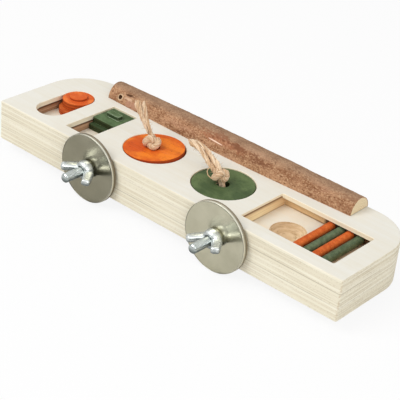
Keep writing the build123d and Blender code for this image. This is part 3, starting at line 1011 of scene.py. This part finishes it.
def make_bark():
    """Thin dry bark: fine pale and dark specks, russet bare patches and a grey top."""
    material, w, shader = finish_material("dry_bark", roughness=0.85, specular=0.12)
    place = w.place()
    upright = w.facing()[2]
    spots = mottle(w, w.stretch(place, (0.7, 1, 1)), 170.0)
    fine = w.noise(w.stretch(place, (0.7, 1, 1)), 1100.0, 3.0, 0.7)
    colour = w.cover(srgb(144, 100, 70), srgb(184, 140, 106), spots["Blotch"], 0.36, 0.64)
    colour = w.cover(colour, srgb(206, 168, 132), fine, 0.52, 0.64, 0.85)
    colour = w.cover(colour, srgb(104, 68, 44), fine, 0.46, 0.34, 0.9)
    peel = w.streaks(place, (30, 150, 150), 4.0, 0.65)
    colour = w.cover(colour, srgb(132, 88, 62), peel, 0.54, 0.66, 0.5)
    colour = w.cover(colour, srgb(204, 160, 130), peel, 0.46, 0.36, 0.35)
    top = w.remap(upright, 0.72, 0.98)
    colour = w.mix(w.times(top, 0.5), colour, srgb(150, 126, 104))
    flakes = w.noise(w.stretch(place, (0.5, 1, 1)), 900.0, 3.0, 0.7)
    for centre, along, half_length, half_width, ragged, strength, patch in BARK_MARKS:
        away = w.vector("SUBTRACT", place, tuple(c * MM for c in centre))
        shift = w.vector("DOT_PRODUCT", away, along)
        total = w.add("VectorMath", {0: away}, operation="LENGTH").outputs["Value"]
        long_part = w.times(shift, shift)
        wide_part = w.minus(w.times(total, total), long_part)
        long_part = w.times(long_part, (half_length * MM) ** -2)
        wide_part = w.times(w.math("MAXIMUM", wide_part, 0.0), (half_width * MM) ** -2)
        reach = w.math("SQRT", w.plus(long_part, wide_part))
        torn = w.times_plus(w.minus(spots["Blotch"], 0.5), ragged, reach)
        torn = w.times_plus(w.minus(flakes, 0.5), ragged * 1.3, torn)
        colour = w.cover(colour, patch, torn, 1.05, 0.8, strength)
    w.feed(shader["Base Color"], colour)
    raise_bump(w, shader, specked(w, fine, spots), 0.0005, 0.7)
    return material


# The middle of the branch's growth rings, along Y and Z
HEARTWOOD = (0.0672, 0.0128)


def make_cut_branch():
    """The sawn ends of the branch: pale wood with growth rings inside a thin dark skin."""
    material, w, shader = finish_material("cut_branch", roughness=0.7, specular=0.25)
    place = w.place()
    _, y, z = w.split(place)
    reach = w.reach(w.minus(y, HEARTWOOD[0]), w.minus(z, HEARTWOOD[1]))
    wobble = w.noise(place, 260.0, 2.0)
    ring = w.math("SINE", w.times(w.times_plus(wobble, 0.0012, reach), 6200.0))
    colour = w.cover(srgb(238, 220, 184), srgb(206, 176, 132), ring, -0.2, 1.0, 0.6)
    fine = w.noise(place, 2400.0, 2.0, 0.7)
    colour = w.cover(colour, srgb(186, 152, 110), fine, 0.5, 0.75, 0.4)
    w.feed(shader["Base Color"], colour)
    raise_bump(w, shader, fine, 0.0002, 0.5)
    return material


def make_sisal():
    """Pale twisted fibre, streaked along each yarn, with painted shade in its crevices and on the
    knots' hearts.
    """
    material, w, shader = finish_material("sisal_fibre", roughness=0.8, specular=0.2)
    shader["Sheen Weight"].default_value = 0.25
    strand = w.add("UVMap", uv_map="strand").outputs[0]
    streak = w.streaks(strand, (260, 14, 1), 3.0, 0.65)
    number = w.math("FLOOR", w.split(strand)[1])
    shade = w.add("TexWhiteNoise", {"W": number}, noise_dimensions="1D").outputs[0]
    place = w.place()
    spots = mottle(w, place, 300.0)
    colour = w.cover(srgb(252, 228, 198), srgb(230, 198, 160), streak, 0.40, 0.62)
    colour = w.cover(colour, srgb(184, 144, 104), streak, 0.58, 0.74)
    colour = w.cover(colour, srgb(250, 232, 206), spots["Blotch"], 0.55, 0.75, 0.5)
    colour = w.cover(colour, srgb(204, 162, 118), shade, 0.35, 0.8, 0.75)
    # Painted shade: strands of tone 0, the knots' hearts, are dark
    colour = w.mix(w.under(number, 0.5), colour, srgb(150, 108, 72))
    # Painted shade: darker in the crevices between strands, where little is open to light
    open_to_light = w.add("AmbientOcclusion", {"Distance": 0.0014}, samples=6).outputs["AO"]
    colour = w.cover(colour, srgb(142, 98, 62), open_to_light, 0.65, 0.15, 0.85)
    w.feed(shader["Base Color"], colour)
    raise_bump(w, shader, streak, 0.0004, 0.8)
    return material


def make_zinc(name, light, dark, roughness, metallic, underside_shade):
    """Zinc plate with a soft grey bloom and worn edges, with painted shade where it faces down.
    """
    material, w, shader = finish_material(name, roughness=roughness, metallic=metallic)
    place = w.place()
    spots = mottle(w, place, 420.0)
    edge = edge_band(w, place, 0.0004, 0.5)
    colour = w.cover(light, dark, spots["Blotch"], 0.35, 0.7)
    colour = w.mix(w.times(edge, 0.5), colour, srgb(244, 246, 244))
    # Painted shade: darker where the surface faces down
    colour = w.cover(colour, srgb(80, 88, 86), w.facing()[2], 0.4, -0.25, underside_shade)
    w.feed(shader["Base Color"], colour)
    worn = w.remap(spots["Blotch"], 0.3, 0.7, roughness * 0.7, roughness * 1.4)
    w.feed(shader["Roughness"], worn)
    raise_bump(w, shader, spots["Speck"], 0.00004, 0.12)
    return material


def make_washer_steel(name, centre_x, base, bloom):
    """Polished sheet steel with faint turning marks round the hole, and a rim with a painted
    highlight on its upper right and painted shade on its lower left and on the inner washer.
    """
    material, w, shader = finish_material(name, roughness=0.2, metallic=1.0)
    place = w.place()
    x, y, z = w.split(place)
    across = w.minus(x, centre_x)
    up = w.minus(z, BOLT_Z)
    reach = w.reach(across, up)
    turning = w.noise(w.add("CombineXYZ", {0: w.times(reach, 2600.0)}).outputs[0], 1.0, 3.0, 0.6)
    spots = mottle(w, place, 90.0)
    edge = edge_band(w, place, 0.0005, 0.2)
    colour = w.cover(base, bloom, spots["Blotch"], 0.3, 0.7)
    outward = w.absolute(w.facing()[1])
    # Painted highlight and shade on the rim: bright towards the upper right, dark towards the
    # lower left
    rim = w.times(w.remap(outward, 0.95, 0.6), w.remap(reach, 0.0205, 0.0215))
    rim = w.math("MAXIMUM", rim, w.times(edge, 0.8))
    low_side = w.times(w.plus(w.times(across, 1.2), up), -1 / WASHER_RIM)
    painted_rim_light_and_shade = w.cover(srgb(228, 225, 210), srgb(98, 92, 82), low_side, 0.0, 0.5)
    # The inner washer's rim is in the shade of the outer one
    painted_rim_light_and_shade = w.cover(painted_rim_light_and_shade, srgb(132, 118, 98), y, -0.0030, -0.0026)
    colour = w.mix(w.times(rim, 0.8), colour, painted_rim_light_and_shade)
    w.feed(shader["Base Color"], colour)
    turned = w.remap(turning, 0.3, 0.7, 0.17, 0.27)
    w.feed(shader["Roughness"], w.times_plus(rim, 0.25, turned))
    raise_bump(w, shader, turning, 0.00002, 0.25)
    return material


plywood = make_plywood()
orange_wood = make_stained_wood("orange", size=85.0)
orange_slider_wood = make_stained_wood("orange_slider", size=150.0, stepped=True)
green_wood = make_stained_wood("green", size=95.0)
green_slider_wood = make_stained_wood("green_slider", size=150.0, stepped=True)
# The knob's pale rim is wear and a painted highlight
green_knob_wood = make_stained_wood("green_knob", size=150.0, edge_wear_and_highlight=1.0, pale_edge_width=0.0011)
orange_rod = make_stained_rod("orange_rod")
green_rod = make_stained_rod("green_rod")
bark = make_bark()
cut_branch = make_cut_branch()
sisal = make_sisal()
zinc = make_zinc("bright_zinc", srgb(226, 232, 230), srgb(196, 205, 202), 0.2, 1.0, underside_shade=0.9)
cast_zinc = make_zinc("cast_zinc", srgb(236, 240, 238), srgb(190, 196, 194), 0.24, 0.7, underside_shade=0.85)
# A lit and a shaded copy of one steel: the left washer is painted darker than the right
shaded_left_washer_steel = make_washer_steel(
    "shaded_left_washer_steel", -BOLT_X, srgb(149, 145, 126), srgb(138, 134, 115)
)
lit_right_washer_steel = make_washer_steel(
    "lit_right_washer_steel", BOLT_X, srgb(199, 195, 173), srgb(184, 180, 158)
)

for piece in (
    orange_rope, orange_knot, orange_stop, orange_fibres,
    green_rope, green_knot, green_stop, green_fibres,
):
    piece.data.materials.append(sisal)


def dress(node, material):
    """Gives a carried-over node its finish."""
    mesh = nodes[node].data
    mesh.materials.clear()
    mesh.materials.append(material)


for node in ("top_board", "middle_board", "bottom_board"):
    dress(node, plywood)
for layer in ("flange", "plate", "knob"):
    dress(f"round_slider_{layer}", orange_slider_wood)
    dress(f"square_slider_{layer}", green_slider_wood)
dress("square_slider_knob", green_knob_wood)
dress("orange_lid", orange_wood)
dress("green_lid", green_wood)
for node, material in zip(("rod_1", "rod_2", "rod_3", "rod_4"), (orange_rod, green_rod) * 2):
    dress(node, material)
dress("perch_screws", zinc)

# ---- the perch

PERCH_START = -0.0977
PERCH_LENGTH = 0.1977
PERCH_BACK = 0.0765
PERCH_HALF_WIDTH = 0.0089
PERCH_HEIGHT = 0.0091
PERCH_SWELL = 0.0013
TOP_Z = 0.0135
SCAR_AT = (-0.0872, 0.0592, 0.0176)

# The bark's relief: an even press inward, then waves, lumps and crust, each with its
# fineness along and across the branch and its depth
BARK_PRESS = 0.00018
BARK_RELIEF = ((45, 120, 0.00028), (300, 420, 0.00014), (1100, 1400, 0.00012))
BARK_THICKNESS = 0.00045


def on_bark(x, share, angle):
    """A point of the bark, at a share of the branch's length and an angle over its round."""
    swelling = PERCH_SWELL * math.sin(math.pi * share)
    width = PERCH_HALF_WIDTH + swelling
    height = PERCH_HEIGHT + swelling
    middle_y = PERCH_BACK - PERCH_HALF_WIDTH - swelling
    outward = Vector((0, -math.cos(angle), math.sin(angle)))
    place = Vector((x, middle_y - width * math.cos(angle), TOP_Z + height * math.sin(angle)))
    press = BARK_PRESS
    for along, across, depth in BARK_RELIEF:
        press += depth * noise.noise(Vector((x * along, place.y * across, place.z * across)))
    away = (place - Vector(SCAR_AT)).length
    ring = math.exp(-(((away - 0.0016) / 0.0006) ** 2)) * 0.00055
    pit = math.exp(-((away / 0.0011) ** 2)) * 0.0011
    hold = min(1.0, math.sin(angle) * 3)
    return place + outward * ((ring - pit - press) * hold)


def make_perch():
    """A half-round branch: bark over the round, sawn ends, a flat planed underside."""
    skin = Skin()
    stations = 270
    steps = 60
    rows = []
    for i in range(stations + 1):
        share = i / stations
        x = PERCH_START + share * PERCH_LENGTH
        rows.append([on_bark(x, share, math.pi * j / steps) for j in range(steps + 1)])
    skin.grid(rows, closed=False)
    for rim, flip in ((rows[0], True), (rows[-1], False)):
        centre = Vector((rim[0].x, PERCH_BACK - PERCH_HALF_WIDTH, TOP_Z + 0.0035))
        inner = [p + (centre - p).normalized() * BARK_THICKNESS for p in rim]
        skin.grid([inner, rim] if flip else [rim, inner], closed=False)
        start = len(skin.points)
        skin.points.extend(inner)
        skin.cap(start, len(inner), centre, finish=1, flip=flip)
    skin.grid([[row[0], row[-1]] for row in rows], closed=False, finish=1)
    branch = skin.piece("branch", [bark, cut_branch])
    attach(branch, "board")
    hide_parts("perch")


make_perch()

# ---- clamps for the wires

BOLT_SIDES = 36
BOLT_ROWS = 260
WOOD_ROWS = 120
POINT_ROWS = 8


def make_bolt(side, centre_x):
    """A hanger bolt: machine thread outside the board, coarse wood thread inside it."""
    skin = Skin()
    angles = [2 * math.pi * j / BOLT_SIDES for j in range(BOLT_SIDES)]

    def crest(y, angle, pitch, outer, depth):
        """The thread's radius at a place along and round the bolt."""
        phase = (y / pitch + angle / (2 * math.pi)) % 1.0
        return outer - depth * (1 - min(1.0, abs(phase - 0.5) * 2.4))

    rows = []
    for i in range(BOLT_ROWS + 1):
        y = -BOLT_REACH + (BOLT_REACH - 0.0001) * i / BOLT_ROWS
        limit = BOLT_RADIUS - max(0.0, BOLT_CHAMFER - (y + BOLT_REACH))
        radii = [min(limit, crest(y, a, THREAD_PITCH, BOLT_RADIUS, THREAD_DEPTH)) for a in angles]
        rows.append(ring_about_y((centre_x, y, BOLT_Z), radii))
    for i in range(WOOD_ROWS + 1):
        y = BOLT_EMBED * i / WOOD_ROWS
        radii = [
            crest(y, a, WOOD_THREAD_PITCH, BOLT_WOOD_RADIUS, WOOD_THREAD_DEPTH) for a in angles
        ]
        rows.append(ring_about_y((centre_x, y, BOLT_Z), radii))
    for i in range(1, POINT_ROWS + 1):
        y = BOLT_EMBED + BOLT_POINT * i / POINT_ROWS
        radius = BOLT_WOOD_RADIUS * (1 - 0.97 * i / POINT_ROWS) * 0.85
        rows.append(ring_about_y((centre_x, y, BOLT_Z), [radius] * BOLT_SIDES))
    start = skin.grid(rows)
    last = start + (len(rows) - 1) * BOLT_SIDES
    face = Vector((centre_x, -BOLT_REACH - 0.00001, BOLT_Z))
    point = Vector((centre_x, BOLT_EMBED + BOLT_POINT, BOLT_Z))
    skin.cap(start, BOLT_SIDES, face, flip=True)
    skin.cap(last, BOLT_SIDES, point)
    bolt = skin.piece(f"threaded_bolt_{side}", [zinc])
    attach(bolt, "board")
    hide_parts(f"hanger_bolt_{side}")


NUT_BACK = 0.00318
# The hub from its seat to its face and back down the bore: radius and height in millimetres
HUB_PROFILE = [
    (3.15, 0.0), (4.6, 0.0), (4.8, 0.5), (5.8, 1.1), (6.1, 2.0), (6.0, 3.4), (5.6, 4.8),
    (4.9, 5.8), (4.2, 6.2), (3.5, 6.3), (3.15, 6.0),
]
# A wing from its root in the hub to its tip: share of its length, distance out, height,
# half width and half thickness, the last four in millimetres
WING_SECTIONS = [
    (0.0, 1.2, 1.6, 2.6, 2.4),
    (0.25, 4.9, 4.4, 3.2, 2.3),
    (0.6, 8.0, 8.4, 2.8, 2.1),
    (1.0, 10.9, 12.9, 2.6, 2.0),
]
WING_NORMAL = (0.79, -0.61)
WING_STEPS = 28
WING_AROUND = 40
# Below 1, a wing's section is squarer than an ellipse
WING_SQUARENESS = 0.62


def make_wing(name, way):
    """One wing of a nut in millimetres, out along X one way and rounded off at both ends."""
    wing = Skin()
    shares, *columns = zip(*WING_SECTIONS)
    rows = []
    for i in range(WING_STEPS + 1):
        share = i / WING_STEPS
        out, up, half_width, half_thick = (np.interp(share, shares, c) for c in columns)
        end = min(1.0, min(share, 1 - share) * 8)
        close = max(0.02, math.sqrt(1 - (1 - end) ** 2))
        ring = []
        for j in range(WING_AROUND):
            angle = 2 * math.pi * j / WING_AROUND
            c, t = math.cos(angle), math.sin(angle)
            across = math.copysign(abs(c) ** WING_SQUARENESS, c) * half_width * close
            thick = math.copysign(abs(t) ** WING_SQUARENESS, t) * half_thick * close
            x = way * (out + across * WING_NORMAL[0])
            ring.append(Vector((x, -(up + across * WING_NORMAL[1]), thick)))
        rows.append(ring)
    wing.grid(rows)
    opposite = WING_AROUND // 2
    wing.cap(0, WING_AROUND, rows[0][0].lerp(rows[0][opposite], 0.5), flip=True)
    end_middle = rows[-1][0].lerp(rows[-1][opposite], 0.5)
    wing.cap(WING_STEPS * WING_AROUND, WING_AROUND, end_middle)
    return wing.piece(name, [])


WASHER_STEPS = 24
RIM_STEPS = 8


def make_disc(name, centre_x, forward, material, body, replaced):
    """A dished washer with a rounded rim, so far forward of the board."""
    half = WASHER_THICK / 2
    flat_end = WASHER_RIM - WASHER_ROUNDING
    flat = [
        WASHER_HOLE + (flat_end - WASHER_HOLE) * i / WASHER_STEPS for i in range(WASHER_STEPS + 1)
    ]
    outline = [(r, WASHER_DISH * (r / WASHER_RIM) ** 2) for r in flat]
    for i in range(1, RIM_STEPS + 1):
        angle = math.pi * (i / RIM_STEPS - 0.5)
        straight = max(-1, min(1, math.sin(angle) * 1.6))
        middle = WASHER_DISH + half + (half - WASHER_ROUNDING) * straight
        out = flat_end + WASHER_ROUNDING * math.cos(angle)
        outline.append((out, middle + WASHER_ROUNDING * math.sin(angle)))
    outline += [(r, WASHER_THICK + WASHER_DISH * (r / WASHER_RIM) ** 2) for r in reversed(flat)]
    outline.append(outline[0])
    skin = Skin()
    skin.grid([ring_about_y((centre_x, -forward - up, BOLT_Z), [r] * 120) for r, up in outline])
    disc = skin.piece(name, [material])
    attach(disc, body)
    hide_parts(replaced)


def make_wing_nut(side, centre_x, body, lean):
    """A cast wing nut: a round hub with two thick swept wings, every corner filled and soft.
    lean turns it a little about the bolt, in degrees."""
    hub = Skin()
    rows = [ring_about_y((0, -up, 0), [r] * 64) for r, up in HUB_PROFILE]
    hub.grid(rows + rows[:1])
    shaped = [hub.piece(f"hub_{side}", [])]
    shaped += [make_wing(f"wing_{side}_{way}", way) for way in (1, -1)]
    seat = Matrix.Translation((centre_x, -NUT_BACK, BOLT_Z))
    seat = seat @ Matrix.Rotation(math.radians(lean), 4, "Y")
    joined = bmesh.new()
    for part in shaped:
        part.data.transform(seat @ Matrix.Scale(MM, 4))
        joined.from_mesh(part.data)
        bpy.data.objects.remove(part)
    bmesh.ops.recalc_face_normals(joined, faces=joined.faces)
    rough = bpy.data.meshes.new(f"cast_{side}")
    joined.to_mesh(rough)
    joined.free()
    cast = place_in_scene(f"cast_wing_nut_{side}", rough)
    skin = cast.modifiers.new("skin", "REMESH")
    skin.mode = "VOXEL"
    skin.voxel_size = 0.0002
    soft = cast.modifiers.new("soft", "SMOOTH")
    soft.factor = 0.6
    soft.iterations = 6
    full = cast.modifiers.new("full", "DISPLACE")
    full.mid_level = 0.0
    full.strength = 0.00012
    bpy.context.view_layer.update()
    evaluated = cast.evaluated_get(bpy.context.evaluated_depsgraph_get())
    shape = bpy.data.meshes.new_from_object(evaluated)
    cast.modifiers.clear()
    cast.data = shape
    shape.materials.clear()
    shape.materials.append(cast_zinc)
    shape.polygons.foreach_set("use_smooth", [True] * len(shape.polygons))
    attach(cast, body)
    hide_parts(f"wing_nut_{side}")


for side, centre_x, steel, lean in (
    ("left", -BOLT_X, shaded_left_washer_steel, 9.0),
    ("right", BOLT_X, lit_right_washer_steel, -4.0),
):
    make_bolt(side, centre_x)
    make_disc(f"inner_disc_{side}", centre_x, 0.0, steel, "board", f"inner_washer_{side}")
    make_disc(
        f"outer_disc_{side}", centre_x, OUTER_WASHER_FORWARD, steel,
        f"{side}_washer_set", f"outer_washer_{side}",
    )
    make_wing_nut(side, centre_x, f"{side}_nut_set", lean)

# ---- studio and lights

STUDIO_FLOOR = -0.0211


def make_floor():
    """A wide white floor that keeps a faint shadow."""
    mesh = bpy.data.meshes.new("studio_floor")
    half = 6.0
    corners = [(-half, -half), (half, -half), (half, half), (-half, half)]
    mesh.from_pydata([(x, y, STUDIO_FLOOR) for x, y in corners], [], [[0, 1, 2, 3]])
    floor = place_in_scene("studio_floor", mesh)
    material, w, shader = finish_material("white_floor", roughness=1.0, specular=0.0)
    shader["Base Color"].default_value = (0.86, 0.86, 0.86, 1)
    nodes_of_floor = material.node_tree.nodes
    glow = w.add("Emission", {"Color": (1, 1, 1, 1), "Strength": 1.0})
    path = w.add("LightPath").outputs
    seen = w.times(path["Is Camera Ray"], 0.88)
    surface = nodes_of_floor["Principled BSDF"].outputs[0]
    both = w.add("MixShader", {0: seen, 1: surface, 2: glow.outputs[0]})
    w.feed(nodes_of_floor["Material Output"].inputs["Surface"], both.outputs[0])
    mesh.materials.append(material)


def make_light(name, at, aim, size, power):
    """A large soft lamp."""
    lamp = bpy.data.lights.new(name, "AREA")
    lamp.shape = "SQUARE"
    lamp.size = size
    lamp.energy = power
    holder = place_in_scene(name, lamp)
    holder.location = at
    holder.rotation_euler = (Vector(aim) - Vector(at)).to_track_quat("-Z", "Y").to_euler()


def make_world():
    """Even white light, seen as white by the camera and with a grey horizon in reflections."""
    world = bpy.data.worlds.new("studio")
    bpy.context.scene.world = world
    world.use_nodes = True
    tree = world.node_tree
    w = Wiring(tree)
    background = tree.nodes["Background"]
    high = w.split(w.add("TexCoord").outputs["Generated"])[2]
    glow = w.ramp(w.remap(high, -0.2, 1.0), (0.0, 0.06), (0.24, 0.10), (0.40, 0.7), (0.8, 1.0))
    path = w.add("LightPath").outputs
    mirror = w.math("MAXIMUM", path["Is Glossy Ray"], path["Is Transmission Ray"])
    level = w.mix(mirror, (0.54, 0.54, 0.54, 1), glow)
    level = w.mix(path["Is Camera Ray"], level, (1, 1, 1, 1))
    w.feed(background.inputs["Color"], level)


make_floor()
make_world()
make_light("key", (-0.5, -0.9, 1.3), (0, 0.04, 0), 0.9, 14.5)
make_light("fill", (1.2, -0.5, 0.7), (0, 0.04, 0), 0.9, 6.5)
bpy.context.scene.view_settings.view_transform = "Standard"
